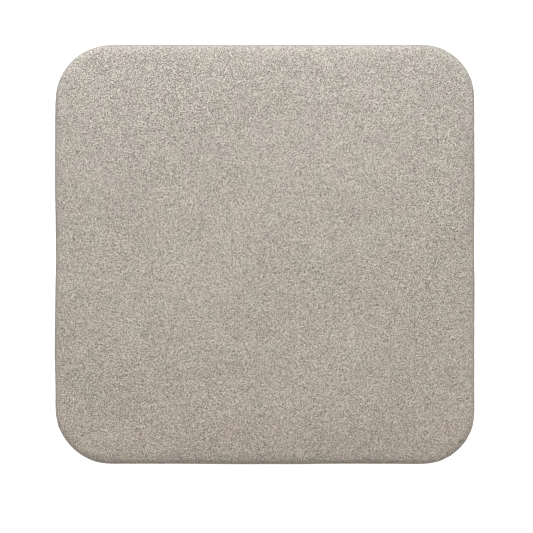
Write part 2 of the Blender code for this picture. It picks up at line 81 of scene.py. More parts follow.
# --- Leg sizes, as in the CAD model; lengths run down a leg's axis from the board ---
LEG_OFFSET = 0.122
SPLAY = math.radians(4.5)
SOCKET_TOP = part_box("leg_socket_front_left")[1].z
LEG_LENGTH = SOCKET_TOP / math.cos(SPLAY)
FLANGE_WIDTH = 0.060
FLANGE_THICKNESS = 0.005
BOSS_RADII = (0.019, 0.022)  # bottom, top
BOSS_LENGTH = 0.050
TUBE_RADIUS = 0.0143
TUBE_BORE = 0.0128
TUBE_TOP = 0.006
TUBE_BOTTOM = 0.300
RIVET_DROP = 0.026
EXTENSION_RADIUS = 0.0125
EXTENSION_BORE = 0.0111
EXTENSION_TOP = 0.205
HOLE_COUNT = 7
HOLE_PITCH = 0.020
LOWEST_HOLE = 0.275
SPRING_WIDTH = 0.008
SPRING_THICKNESS = 0.0006
SPRING_OUTLINE = (  # distance from the leg's axis, and height above the button's own
    (0.0080, -0.006),
    (0.0080, 0.008),
    (0.0020, 0.034),
    (-0.0005, 0.037),
    (-0.0030, 0.034),
    (-0.0094, 0.002),
)
HOLE_RADIUS = 0.0034
BUTTON_RADIUS = 0.0030
BUTTON_TIP = 0.0163  # a button's levels are distances from the leg's axis
BUTTON_SHOULDER = 0.0146
BUTTON_FLANGE = (0.0086, 0.0100)  # inner and outer face of the flange that keeps it in
BUTTON_FLANGE_LIP = 0.0008
COLLAR_WALL = 0.0025
COLLAR_RIM_WALL = 0.0015
COLLAR_LENGTH = 0.016  # up the outer tube
COLLAR_LIP = 0.0037  # below the outer tube's end
COLLAR_PLAY = 0.00035  # between the lip and the sliding inner tube
COLLAR_GROOVES = (0.0070, 0.0100, 0.0130)  # down from the collar's top
GROOVE_DEPTH = 0.0006
GROOVE_HALF_WIDTH = 0.0007
FOOT_RADIUS = 0.021
FOOT_HEIGHT = 0.040
FOOT_SOLE = 0.0082
FOOT_NECK_WALL = 0.0036
FOOT_RIM_WALL = 0.0024
FOOT_FLARE = (0.0062, 0.0155)  # heights between which the foot widens to its full radius
FOOT_RIBS = (0.0330, 0.0285, 0.0240, 0.0195)  # heights of the grooves between the ribs
FOOT_RIB_DEPTH = 0.0007
SOLE_RINGS = (0.0045, 0.0085, 0.0125, 0.0165)  # inner radii of the grooves in the sole
SOLE_RING_WIDTH = 0.0012
SOLE_RING_DEPTH = 0.0010
CLIP_DROP = 0.130
CLIP_HEIGHT = 0.020
CLIP_RADIUS = 0.0178
LUG_REACH = 0.040
LUG_HOLE_REACH = 0.031
LUG_THICKNESS = 0.005
STRIP_WIDTH = 0.018
STRIP_THICKNESS = 0.003
SPACER_RADIUS = 0.007
SCREW_RADIUS = 0.0020
SCREW_HEAD_RADIUS = 0.0045
SCREW_HEAD_HEIGHT = 0.0024
SCREW_OFFSET = 0.031
SCREW_DEPTH = 0.010
RIVET_RADIUS = 0.0025
RIVET_HEAD_RADIUS = 0.005
RIVET_HEAD_HEIGHT = 0.0018
GAP = 0.0003  # between neighbouring pieces
HOLE_CLEARANCE = 0.0004

# --- Making the cushion ---
VOXEL = 0.0045
SWELL_FRAMES = 20
SWELL_CAP = 0.006  # the furthest that a point may move
HELD_BAND = 0.006  # the cloth is held up to this height above the board
SHRINK = 0.0035  # the pad starts this much narrower, because it swells
CROWN = 0.0020  # and this much thinner
FOAM_GAP = 0.0030  # from the outer face of the cover in to the foam
LOOP_PITCH = 0.0027
LOOP_HEIGHT = 0.0004

ROUND_STEPS = 72
SMALL_STEPS = 32


# ---------------------------------------------------------------------------
# Mesh helpers
# ---------------------------------------------------------------------------


def link(obj):
    bpy.context.scene.collection.objects.link(obj)
    return obj


def mesh_of(bm, name="mesh"):
    bmesh.ops.recalc_face_normals(bm, faces=bm.faces)
    mesh = bpy.data.meshes.new(name)
    bm.to_mesh(mesh)
    bm.free()
    return mesh


def baked(obj):
    """The mesh of an object with its modifiers applied; the object goes."""
    bpy.context.view_layer.update()
    graph = bpy.context.evaluated_depsgraph_get()
    mesh = bpy.data.meshes.new_from_object(obj.evaluated_get(graph))
    bpy.data.objects.remove(obj, do_unlink=True)
    return mesh


def coordinates(mesh):
    flat = np.empty(len(mesh.vertices) * 3, np.float32)
    mesh.vertices.foreach_get("co", flat)
    return flat.reshape(-1, 3).astype(np.float64)


def set_coordinates(mesh, points):
    mesh.vertices.foreach_set("co", points.astype(np.float32).ravel())
    mesh.update()


def normals(mesh):
    flat = np.empty(len(mesh.vertices) * 3, np.float32)
    mesh.vertices.foreach_get("normal", flat)
    return flat.reshape(-1, 3).astype(np.float64)


def round_edges(bm, chosen, radius, segments):
    edges = [edge for edge in bm.edges if chosen(edge)]
    bmesh.ops.bevel(bm, geom=edges, offset=radius, segments=segments, profile=0.5, affect="EDGES")


def is_upright(edge):
    return abs(edge.verts[0].co.z - edge.verts[1].co.z) > 1e-6


def slab(size, low, high, corners, rims, segments=(16, 8)):
    """A flat block between two levels, as a bmesh: corners is the radius of its left and right
    upright edges, and rims that of its top and bottom rims."""
    bm = bmesh.new()
    bmesh.ops.create_cube(bm, size=1.0)
    bmesh.ops.scale(bm, vec=(*size, high - low), verts=bm.verts)
    bmesh.ops.translate(bm, vec=(0, 0, (high + low) / 2), verts=bm.verts)
    for side, radius in zip((-1, 1), corners):
        if radius:
            chosen = lambda e: is_upright(e) and e.verts[0].co.x * side > 0.499 * size[0]
            round_edges(bm, chosen, radius, segments[0])
    for level, radius in zip((high, low), rims):
        if radius:
            chosen = lambda e: all(abs(v.co.z - level) < 1e-6 for v in e.verts)
            round_edges(bm, chosen, radius, segments[1])
    return bm


def rounded(profile, closed=False, steps=5):
    """A profile with its corners rounded; its points are (radius, z, size of the rounding)."""
    result = []
    count = len(profile)
    for index, (x, z, size) in enumerate(profile):
        here = Vector((x, z))
        if size == 0 or (not closed and index in (0, count - 1)):
            result.append(here)
            continue
        before = Vector(profile[index - 1][:2]) - here
        after = Vector(profile[(index + 1) % count][:2]) - here
        reach = min(
            size / math.tan(before.angle(after) / 2), 0.49 * before.length, 0.49 * after.length
        )
        start = here + before.normalized() * reach
        end = here + after.normalized() * reach
        for step in range(steps + 1):
            t = step / steps
            result.append(start * (1 - t) ** 2 + here * 2 * t * (1 - t) + end * t**2)
    return result


def turned(profile, steps=ROUND_STEPS, closed=False):
    """A profile of (radius, z, rounding) points turned about Z."""
    bm = bmesh.new()
    line = [bm.verts.new((x, 0, z)) for x, z in rounded(profile, closed)]
    pairs = list(zip(line, line[1:])) + ([(line[-1], line[0])] if closed else [])
    edges = [bm.edges.new(pair) for pair in pairs]
    bmesh.ops.spin(
        bm, geom=line + edges, axis=(0, 0, 1), cent=(0, 0, 0), steps=steps, angle=math.tau
    )
    bmesh.ops.remove_doubles(bm, verts=bm.verts, dist=1e-6)
    return mesh_of(bm)


def tube(outer, inner, top, bottom, rounding=0.0003):
    corners = ((outer, top), (outer, bottom), (inner, bottom), (inner, top))
    return turned([(*corner, rounding) for corner in corners], closed=True)


def rod(radius, low, high, matrix=None, steps=SMALL_STEPS):
    mesh = turned([(0, low, 0), (radius, low, 0), (radius, high, 0), (0, high, 0)], steps)
    if matrix:
        mesh.transform(matrix)
    return mesh


def joined(meshes):
    """Several separate closed meshes as one."""
    bm = bmesh.new()
    for mesh in meshes:
        bm.from_mesh(mesh)
        bpy.data.meshes.remove(mesh)
    return mesh_of(bm)


def combined(mesh, other, operation="DIFFERENCE"):
    """A closed mesh with another cut away from it, or joined to it."""
    obj = link(bpy.data.objects.new("blank", mesh))
    tool = link(bpy.data.objects.new("tool", other))
    modifier = obj.modifiers.new("Boolean", "BOOLEAN")
    modifier.operation = operation
    modifier.solver = "EXACT"
    modifier.object = tool
    result = baked(obj)
    bpy.data.objects.remove(tool)
    return result


def moved(mesh, matrix):
    mesh.transform(matrix)
    return mesh


def along_x(distance=0.0, z=0.0):
    """Lays a shape made about Z along +X."""
    return Matrix.Translation((distance, 0, z)) @ Matrix.Rotation(math.pi / 2, 4, "Y")


def along_y(z=0.0):
    """Lays a shape made about Z along Y."""
    return Matrix.Translation((0, 0, z)) @ Matrix.Rotation(math.pi / 2, 4, "X")


def add_piece(name, mesh, body, slot, nodes, matrix=None, soft_angle=35):
    """A finished piece: it rides on a body, if any, stands for CAD nodes and takes a slot's finish."""
    if matrix:
        mesh = moved(mesh.copy(), matrix)
    mesh.name = name
    mesh.shade_smooth()
    mesh.set_sharp_from_angle(angle=math.radians(soft_angle))
    mesh.materials.append(FINISHES[slot])
    piece = link(bpy.data.objects.new(name, mesh))
    if body:
        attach(piece, body)
    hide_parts(*nodes)
    return piece


# ---------------------------------------------------------------------------
# Repeatable noise, evaluated on arrays of points
# ---------------------------------------------------------------------------


def cell_random(cells, salt):
    """A repeatable number from 0 to 1 for each whole-number cell."""
    mixed = cells.astype(np.int64).astype(np.uint32)
    value = mixed[..., 0] * np.uint32(73856093)
    value = value ^ (mixed[..., 1] * np.uint32(19349663))
    value = value ^ (mixed[..., 2] * np.uint32(83492791)) ^ np.uint32(salt * 7919 + 17)
    for shift, factor in ((16, 2146121005), (15, 2221713035)):
        value = (value ^ (value >> np.uint32(shift))) * np.uint32(factor)
    value = value ^ (value >> np.uint32(16))
    return value / 4294967295.0


def value_noise(points, size, salt):
    """Smooth noise from -1 to 1 with features about the given size."""
    scaled = points / size
    base = np.floor(scaled)
    part = scaled - base
    part = part * part * (3 - 2 * part)
    total = np.zeros(len(points))
    for corner in range(8):
        offset = np.array([corner & 1, corner >> 1 & 1, corner >> 2 & 1])
        weight = np.prod(np.where(offset, part, 1 - part), axis=1)
        total += weight * cell_random(base + offset, salt)
    return 2 * total - 1


def loop_pattern(points, pitch, salt):
    """(height, crevice) of the pile: round tufts round scattered centres, both from 0 to 1."""
    scaled = points / pitch
    base = np.floor(scaled)
    near = np.full(len(points), 9.0)
    second = np.full(len(points), 9.0)
    for step in np.ndindex(3, 3, 3):
        cell = base + np.array(step) - 1
        centre = cell + np.stack([cell_random(cell, salt + axis) for axis in range(3)], axis=1)
        distance = np.linalg.norm(centre - scaled, axis=1)
        second = np.minimum(second, np.maximum(distance, near))
        near = np.minimum(near, distance)
    height = np.sqrt(np.clip(1 - (near / 0.95) ** 2, 0, 1))
    return height, np.clip((second - near) / 0.5, 0, 1)


# ---------------------------------------------------------------------------
# Materials
# ---------------------------------------------------------------------------


class Nodes:
    """A material's node tree, with short calls for adding and joining nodes."""

    def __init__(self, name):
        self.material = bpy.data.materials.new(name)
        self.material.use_nodes = True
        self.tree = self.material.node_tree
        self.shader = self.tree.nodes["Principled BSDF"]

    def add(self, kind, links=None, **settings):
        node = self.tree.nodes.new(f"ShaderNode{kind}")
        for name, value in settings.items():
            if name in node.bl_rna.properties:
                setattr(node, name, value)
            else:
                node.inputs[name.replace("_", " ")].default_value = value
        for name, source in (links or {}).items():
            self.tree.links.new(source, node.inputs[name])
        return node

    def shade(self, links=None, **settings):
        for name, value in settings.items():
            self.shader.inputs[name.replace("_", " ")].default_value = value
        for name, source in (links or {}).items():
            self.tree.links.new(source, self.shader.inputs[name])
        return self.material

    def position(self, scale=(1, 1, 1), rotation=(0, 0, 0)):
        where = self.add("TexCoord").outputs["Object"]
        mapping = self.add("Mapping", {"Vector": where}, vector_type="TEXTURE")
        mapping.inputs["Scale"].default_value = scale
        mapping.inputs["Rotation"].default_value = rotation
        return mapping.outputs["Vector"]

    def noise(self, where, scale, detail=2.0, roughness=0.5):
        return self.add(
            "TexNoise", {"Vector": where}, Scale=scale, Detail=detail, Roughness=roughness
        ).outputs["Fac"]

    def ramp(self, source, stops):
        node = self.add("ValToRGB", {"Fac": source})
        ramp = node.color_ramp
        while len(ramp.elements) < len(stops):
            ramp.elements.new(0.5)
        for element, (place, colour) in zip(ramp.elements, stops):
            element.position = place
            element.color = (*colour, 1)
        return node.outputs["Color"]

    def mix(self, factor, a, b, blend="MIX"):
        node = self.add("Mix", data_type="RGBA", blend_type=blend)
        for socket, value in zip((node.inputs[0], node.inputs[6], node.inputs[7]), (factor, a, b)):
            if hasattr(value, "is_linked"):
                self.tree.links.new(value, socket)
            else:
                socket.default_value = value if isinstance(value, float) else (*value, 1)
        return node.outputs[2]

    def math(self, operation, a, b=0.0):
        node = self.add("Math", operation=operation)
        for socket, value in zip(node.inputs, (a, b)):
            if hasattr(value, "is_linked"):
                self.tree.links.new(value, socket)
            else:
                socket.default_value = value
        return node.outputs[0]

    def bump(self, height, distance, strength=1.0, normal=None):
        links = {"Height": height}
        if normal:
            links["Normal"] = normal
        return self.add("Bump", links, Distance=distance, Strength=strength).outputs["Normal"]


TERRY_LIGHT = (0.774, 0.701, 0.616)
TERRY_DARK = (0.144, 0.127, 0.106)
TERRY_ROSY = (1.016, 0.986, 1.004)
TERRY_GREEN = (0.986, 1.012, 0.996)
TERRY_FRONT = (1.024, 0.994, 0.980)  # painted light tint: warmer towards the front and cooler towards the back
TERRY_BACK = (0.986, 1.002, 1.018)
# painted shade on the cushion's sides: the cloth's colour there is multiplied by this
PAINTED_SIDE_SHADE = 0.62
LOOP_LEAN = (0.60, 0.0, math.radians(45))  # the loops lean towards the back right


def terry_material():
    """Looped cotton, leaning one way, in slightly mixed dyes: the loop tips are painted paler and the
    crevices between them darker as painted shade, the sides carry painted shade, and a painted light
    tint runs from warm at the front to cool at the back.
    """
    made = Nodes("Terry cloth")
    where = made.position()
    leaning = made.position(scale=(1.50, 0.72, 0.9), rotation=LOOP_LEAN)
    pile = made.add("Attribute", attribute_name="pile").outputs["Fac"]
    side = made.add("Attribute", attribute_name="side").outputs["Fac"]
    tufts = made.add("TexVoronoi", {"Vector": leaning}, feature="F1", Scale=760.0, Randomness=0.8)
    tips = made.math("SUBTRACT", 1.0, tufts.outputs["Distance"])
    fibres = made.noise(leaning, 1600.0, 0.0, 0.5)
    patches = made.noise(where, 40.0, 1.0, 0.5)
    broad = made.noise(where, 14.0, 1.0, 0.5)
    hue = made.noise(where, 55.0, 1.0, 0.5)

    tone = 0.55
    # tips and pile paint the crevices between the loops darker, as shade; fibres, patches and broad are
    # tone that differs at random
    for source, middle, share in (
        (tips, 0.6, 0.10),
        (fibres, 0.5, 3.30),
        (pile, 0.6, 0.10),
        (patches, 0.5, 0.08),
        (broad, 0.5, 0.15),
    ):
        part = made.math("MULTIPLY", made.math("SUBTRACT", source, middle), share)
        tone = made.math("ADD", part, tone)
    colour = made.ramp(tone, [(0.0, TERRY_DARK), (1.0, TERRY_LIGHT)])
    tint = made.ramp(hue, [(0.32, TERRY_GREEN), (0.68, TERRY_ROSY)])
    colour = made.mix(1.0, colour, tint, "MULTIPLY")
    # painted light tint: the cloth's colour runs from warmer at the front to cooler at the back, where
    # the bluish key light falls more strongly
    along = made.add("SeparateXYZ", {"Vector": where}).outputs["Y"]
    along = made.math("ADD", made.math("DIVIDE", along, SEAT_WIDTH), 0.5)
    painted_light_tint = made.ramp(along, [(0.0, TERRY_FRONT), (1.0, TERRY_BACK)])
    colour = made.mix(1.0, colour, painted_light_tint, "MULTIPLY")
    # painted shade: the cloth is made darker where it turns down the cushion's sides
    shade = made.ramp(side, [(0.0, (1, 1, 1)), (1.0, (PAINTED_SIDE_SHADE, PAINTED_SIDE_SHADE, PAINTED_SIDE_SHADE))])
    colour = made.mix(1.0, colour, shade, "MULTIPLY")

    normal = made.bump(tips, 0.0007, 0.8)
    normal = made.bump(fibres, 0.0012, 0.8, normal)
    return made.shade(
        {"Base Color": colour, "Normal": normal},
        Roughness=0.95,
        Specular_IOR_Level=0.15,
        Sheen_Weight=0.12,
        Sheen_Roughness=0.6,
    )


def hard_material(name, colour, roughness, metallic=0.0, grain=900.0, depth=0.00004, stretch=(1, 1, 1)):
    """Metal, plastic or rubber: a fine grain, and slow changes of tone and gloss from handling."""
    made = Nodes(name)
    fine = made.noise(made.position(scale=stretch), grain, 3.0, 0.6)
    broad = made.noise(made.position(), 22.0, 3.0, 0.55)
    worn = tuple(0.90 * value for value in colour)
    shade = made.mix(
        0.5,
        made.ramp(fine, [(0.35, worn), (0.65, colour)]),
        made.ramp(broad, [(0.35, worn), (0.65, colour)]),
    )
    gloss = made.math("MULTIPLY", made.math("SUBTRACT", broad, 0.5), 0.18)
    return made.shade(
        {
            "Base Color": shade,
            "Roughness": made.math("ADD", gloss, roughness),
            "Normal": made.bump(fine, depth, 0.6),
        },
        Metallic=metallic,
    )


def elastic_material():
    """Knitted elastic: slanting rows of pale yarn, with painted shade in the grooves between the rows.
    """
    made = Nodes("Knitted elastic")
    rows = made.add(
        "TexWave", {"Vector": made.position()}, bands_direction="DIAGONAL", Scale=260.0, Distortion=1.2
    ).outputs["Fac"]
    yarn = made.noise(made.position(), 1400.0, 2.0, 0.6)
    height = made.math("ADD", rows, yarn)
    # the colour follows the knit's height: painted shade in the grooves between the rows, with random
    # tone from the yarn
    colour = made.ramp(height, [(0.3, (0.40, 0.37, 0.32)), (0.7, (0.70, 0.66, 0.59))])
    return made.shade(
        {"Base Color": colour, "Normal": made.bump(height, 0.0004, 0.8)}, Roughness=0.9
    )


def foam_material():
    """Open-cell foam: a pale body whose small pores are painted darker, as shade inside them."""
    made = Nodes("Open-cell foam")
    cells = made.add("TexVoronoi", {"Vector": made.position()}, feature="F1", Scale=900.0)
    pores = cells.outputs["Distance"]
    # painted shade: the pores are coloured darker than the body
    colour = made.ramp(pores, [(0.15, (0.52, 0.49, 0.42)), (0.55, (0.80, 0.77, 0.69))])
    return made.shade({"Base Color": colour, "Normal": made.bump(pores, 0.0004, 0.7)}, Roughness=0.95)


def floor_material():
    """Plain, pale and evenly lit: a little light of its own keeps it white all round the stool."""
    made = Nodes("Pale floor")
    speckle = made.noise(made.position(), 8.0, 2.0, 0.5)
    colour = made.ramp(speckle, [(0.3, (0.89, 0.89, 0.89)), (0.7, (0.91, 0.91, 0.91))])
    return made.shade(
        {"Base Color": colour},
        Roughness=0.9,
        Emission_Color=(1, 1, 1, 1),
        Emission_Strength=0.52,
    )


FINISHES = {
    "terry": terry_material(),
    "foam": foam_material(),
    "elastic": elastic_material(),
    "board_plastic": hard_material("Board plastic", (0.76, 0.76, 0.74), 0.50, grain=1500.0),
    "socket_plastic": hard_material("Socket plastic", (0.30, 0.30, 0.29), 0.48, grain=2200.0),
    "aluminium": hard_material(
        "Anodised aluminium", (0.50, 0.51, 0.52), 0.36, 1.0, 2400.0, 0.00003, (1, 1, 30)
    ),
    "steel": hard_material("Stainless steel", (0.45, 0.45, 0.45), 0.24, 1.0, 1800.0),
    "spring_steel": hard_material("Spring steel", (0.45, 0.46, 0.48), 0.35, 1.0),
    "rubber": hard_material("Rubber", (0.075, 0.075, 0.075), 0.80, 0.0, 2600.0, 0.00008),
}


# ---------------------------------------------------------------------------
# The seat: cushion, foam, elastic and board
# ---------------------------------------------------------------------------


def swollen(mesh):
    """The pad after its foam presses the cloth out; it is held flat where it lies on the board."""
    pad = link(bpy.data.objects.new("swelling_pad", mesh))
    remesh = pad.modifiers.new("Even faces", "REMESH")
    remesh.mode = "VOXEL"
    remesh.voxel_size = VOXEL
    mesh = baked(pad)
    pad = link(bpy.data.objects.new("swelling_pad", mesh))

    start = coordinates(mesh)
    held = pad.vertex_groups.new(name="held")
    for index in np.flatnonzero(start[:, 2] < start[:, 2].min() + HELD_BAND):
        held.add([int(index)], 1.0, "REPLACE")
    cloth = pad.modifiers.new("Cloth", "CLOTH")
    settings = cloth.settings
    settings.quality = 6
    settings.mass = 0.3
    settings.tension_stiffness = 300
    settings.compression_stiffness = 300
    settings.shear_stiffness = 150
    settings.bending_stiffness = 30
    settings.use_pressure = True
    settings.uniform_pressure_force = 1.0
    settings.vertex_group_mass = "held"
    settings.effector_weights.gravity = 0.0
    cloth.collision_settings.use_collision = False
    scene = bpy.context.scene
    scene.frame_start, scene.frame_end = 1, SWELL_FRAMES
    cloth.point_cache.frame_start, cloth.point_cache.frame_end = 1, SWELL_FRAMES
    for number in range(1, SWELL_FRAMES + 1):
        scene.frame_set(number)
    graph = bpy.context.evaluated_depsgraph_get()
    simulated = bpy.data.meshes.new_from_object(pad.evaluated_get(graph))
    shift = coordinates(simulated) - start
    bpy.data.meshes.remove(simulated)
    pad.modifiers.remove(cloth)
    pad.vertex_groups.clear()
    scene.frame_set(1)

    reach = np.linalg.norm(shift, axis=1)
    print("swelled by at most", round(float(reach.max()) * 1000, 2), "mm")
    shift *= np.minimum(1, SWELL_CAP / np.maximum(reach, 1e-9))[:, None]
    set_coordinates(mesh, start + shift)
    return pad


def subdivided(obj, levels):
    modifier = obj.modifiers.new("Fine surface", "SUBSURF")
    modifier.levels = modifier.render_levels = levels
    mesh = baked(obj)
    return link(bpy.data.objects.new("pad", mesh))


def fit_to_seat(mesh):
    """Fits the swollen pad to the outline and height of the seat again."""
    points = coordinates(mesh)
    low, high = points.min(0), points.max(0)
    for axis in (0, 1):
        points[:, axis] -= (low[axis] + high[axis]) / 2
        points[:, axis] *= SEAT_WIDTH / (high[axis] - low[axis])
    scale = (COVER_HIGH.z - COVER_LOW.z) / (high[2] - low[2])
    points[:, 2] = COVER_LOW.z + (points[:, 2] - low[2]) * scale
    set_coordinates(mesh, points)


def hem_place(points):
    """(nearest point of the hem's inner edge, distance outside it) for points of the underside."""
    flat = points[:, :2]
    middle = np.clip(flat, HEM_RADIUS - HEM_INNER, HEM_INNER - HEM_RADIUS)
    away = flat - middle
    length = np.maximum(np.linalg.norm(away, axis=1), 1e-9)
    edge = np.zeros_like(points)
    edge[:, :2] = middle + away / length[:, None] * HEM_RADIUS
    return edge, length - HEM_RADIUS


def open_underside(obj):
    """Cuts out the middle of the underside, where the cover is open over the board, and turns
    the edge of the opening up."""
    bm = bmesh.new()
    bm.from_mesh(obj.data)
    centres = np.array([face.calc_center_median() for face in bm.faces])
    _, outside = hem_place(centres)
    gone = [
        face
        for face, centre, distance in zip(list(bm.faces), centres, outside)
        if centre[2] < COVER_LOW.z + 0.002 and distance < 0
    ]
    bmesh.ops.delete(bm, geom=gone, context="FACES")
    rim = [edge for edge in bm.edges if edge.is_boundary]
    turned_up = bmesh.ops.extrude_edge_only(bm, edges=rim)["geom"]
    fresh = [item for item in turned_up if isinstance(item, bmesh.types.BMVert)]
    bmesh.ops.translate(bm, vec=(0, 0, COVER_THICKNESS - 0.0004), verts=fresh)
    bm.to_mesh(obj.data)
    bm.free()


def gathers(points):
    """How far the hem hangs: it is drawn into folds by its elastic, with a sewn line beside it."""
    edge, outside = hem_place(points)
    near = np.clip(1 - outside / 0.013, 0, 1)
    folds = value_noise(edge, 0.0060, 21) + 0.5 * value_noise(edge, 0.0031, 22)
    seam = np.exp(-(((outside - 0.0075) / 0.0011) ** 2))
    return near * 0.0010 * folds + 0.0009 * (seam - 0.4 * near)


def make_cushion():
    """The terry cover on its foam: swelled, fitted to the seat and given its looped pile."""
    shape = slab(
        (SEAT_WIDTH - SHRINK, SEAT_WIDTH - SHRINK),
        COVER_LOW.z,
        COVER_HIGH.z - CROWN,
        (LEFT_CORNER_RADIUS, RIGHT_CORNER_RADIUS),
        (TOP_RIM, BOTTOM_RIM),
    )
    pad = swollen(mesh_of(shape))
    fit_to_seat(pad.data)
    make_foam(pad.data.copy())
    pad = subdivided(pad, 1)
    open_underside(pad)
    pad = subdivided(pad, 1)
    mesh = pad.data
    points = coordinates(mesh)
    outward = normals(mesh)

    below = points[:, 2] < COVER_LOW.z + 0.0035
    wave = 0.6 * value_noise(points, 0.075, 3) + 0.4 * value_noise(points, 0.030, 4)
    loops, crevice = loop_pattern(points, LOOP_PITCH, 11)
    pile = 0.75 * loops + 0.25 * crevice
    lift = 0.0010 * wave + LOOP_HEIGHT * (pile - 0.7)
    lift[below] = LOOP_HEIGHT * 0.5 * (pile[below] - 0.7)
    points += outward * lift[:, None]
    points[below, 2] += gathers(points)[below]
    set_coordinates(mesh, points)
    # side masks the painted shade where the cover turns down its sides; pile also paints the crevices
    # between the loops darker, as shade
    side = np.clip((0.7 - outward[:, 2]) / 0.5, 0, 1)
    for name, values in (("pile", pile), ("side", side)):
        attribute = mesh.attributes.new(name, "FLOAT", "POINT")
        attribute.data.foreach_set("value", values.astype(np.float32))

    bpy.data.objects.remove(pad)
    cushion = add_piece("cushion_cover", mesh, "seat", "terry", ["seat_cover"], soft_angle=180)


def make_foam(mesh):
    """The foam slab inside the cover: the pad's own form, drawn in and cut off at the board."""
    set_coordinates(mesh, coordinates(mesh) - FOAM_GAP * normals(mesh))
    bm = bmesh.new()
    bm.from_mesh(mesh)
    bpy.data.meshes.remove(mesh)
    bmesh.ops.bisect_plane(
        bm,
        geom=bm.verts[:] + bm.edges[:] + bm.faces[:],
        plane_co=(0, 0, BOARD_HIGH.z + GAP),
        plane_no=(0, 0, -1),
        clear_outer=True,
    )
    bmesh.ops.holes_fill(bm, edges=[edge for edge in bm.edges if edge.is_boundary])
    foam = add_piece("foam_slab", mesh_of(bm), "seat", "foam", ["foam_pad"], soft_angle=60)


def rounded_square(half, corner, count):
    """(points, outward directions) spread evenly along a square whose corners are rounded."""
    straight = 2 * (half - corner)
    quarter = straight + corner * math.pi / 2
    along = np.linspace(0, 4 * quarter, count, endpoint=False)
    side = (along // quarter).astype(int)
    rest = along - side * quarter
    angle = np.clip((rest - straight) / corner, 0, math.pi / 2)
    # Each quarter runs up the +X side and round its corner, and is then turned to its own side
    x = half - corner + corner * np.cos(angle)
    y = np.minimum(rest, straight) - straight / 2 + corner * np.sin(angle)
    turn = side * math.pi / 2
    points = np.stack([x * np.cos(turn) - y * np.sin(turn), x * np.sin(turn) + y * np.cos(turn)], 1)
    facing = turn + angle
    return points, np.stack([np.cos(facing), np.sin(facing)], 1)


def make_elastic():
    """The gathered elastic in the edge of the hem: a closed, slightly puckered cord."""
    count, around = 1200, 12
    radius = (ELASTIC_HIGH.z - ELASTIC_LOW.z) / 2
    level = (ELASTIC_HIGH.z + ELASTIC_LOW.z) / 2
    centre, out = rounded_square(ELASTIC_HIGH.x - radius, HEM_RADIUS - radius - HEM_PLAY, count)
    pucker = value_noise(np.column_stack([centre, np.zeros(count)]), 0.0035, 31)
    size = radius * (0.93 + 0.07 * pucker)
    lines = []
    for index in range(around):
        angle = index * math.tau / around
        flat = centre + out * (size * math.cos(angle))[:, None]
        lines.append(np.column_stack([flat, level + size * math.sin(angle)]))
    faces = []
    for line in range(around):
        following = (line + 1) % around
        for step in range(count):
            after = (step + 1) % count
            faces.append(
                (
                    line * count + step,
                    line * count + after,
                    following * count + after,
                    following * count + step,
                )
            )
    mesh = bpy.data.meshes.new("elastic")
    mesh.from_pydata(np.concatenate(lines).tolist(), [], faces)
    add_piece("hem_elastic", mesh, "seat", "elastic", ["cover_elastic"], soft_angle=180)


def make_board():
    """Moulded board: rounded pockets between its ribs, and drain holes in every other one."""
    rim = BOTTOM_RIM - COVER_THICKNESS - GAP
    radius = CORNER_RADIUS - COVER_THICKNESS - GAP
    board = mesh_of(
        slab((BOARD_WIDTH, BOARD_WIDTH), BOARD_LOW.z, BOARD_HIGH.z, (radius, radius), (0, rim))
    )
    opening = RIB_PITCH - RIB_THICKNESS
    floor_level = BOARD_HIGH.z - BOARD_SKIN
    corners = (POCKET_CORNER, POCKET_CORNER)
    pockets = []
    for i in range(-3, 4):
        for j in range(-3, 4):
            if abs(i) > 1 and abs(j) > 1:
                continue  # the board stays solid over the legs
            pocket = slab(
                (opening, opening), BOARD_LOW.z - 0.01, floor_level, corners, (0.001, 0), (5, 3)
            )
            place = Matrix.Translation((i * RIB_PITCH, j * RIB_PITCH, 0))
            pockets.append(moved(mesh_of(pocket), place))
    board = combined(board, joined(pockets))
    drains = []
    for i in range(-2, 3):
        for j in range(-2, 3):
            if (i + j) % 2 == 0 and abs(i) + abs(j) < 4:
                place = Matrix.Translation((i * RIB_PITCH, j * RIB_PITCH, 0))
                drains.append(rod(DRAIN_RADIUS, BOARD_LOW.z, BOARD_HIGH.z + 0.01, place))
    board = combined(board, joined(drains))
    add_piece("ribbed_board", board, "seat", "board_plastic", ["seat_board"])


# ---------------------------------------------------------------------------
# The legs: each shape is made about a leg's axis, with the board at z = 0
# ---------------------------------------------------------------------------


def screw_shape(length):
    """A pan-head screw that points up from z = 0, with a cross recess in its head."""
    bottom = -SCREW_HEAD_HEIGHT
    screw = turned(
        [
            (0, length, 0),
            (0.6 * SCREW_RADIUS, length, 0),
            (SCREW_RADIUS, length - 0.0015, 0.0003),
            (SCREW_RADIUS, 0, 0),
            (SCREW_HEAD_RADIUS, 0, 0.0003),
            (SCREW_HEAD_RADIUS, 0.35 * bottom, 0.0006),
            (0.72 * SCREW_HEAD_RADIUS, bottom, 0.0016),
            (0, bottom, 0),
        ],
        SMALL_STEPS,
    )
    arms = []
    for size in ((0.0048, 0.0010), (0.0010, 0.0048)):
        arms.append(mesh_of(slab(size, bottom - 0.001, bottom + 0.0013, (0, 0), (0, 0))))
    cross = combined(arms[0], arms[1], "UNION")
    return combined(screw, cross)


def rivet_shape(half_grip):
    """A rivet about Z with a domed head at each end."""
    head = half_grip + RIVET_HEAD_HEIGHT
    side = [
        (0, head, 0),
        (0.62 * RIVET_HEAD_RADIUS, head, 0.0022),
        (RIVET_HEAD_RADIUS, half_grip + 0.0003, 0.0004),
        (RIVET_HEAD_RADIUS, half_grip, 0),
        (RIVET_RADIUS, half_grip, 0),
    ]
    return turned(side + [(x, -z, size) for x, z, size in reversed(side)], SMALL_STEPS)


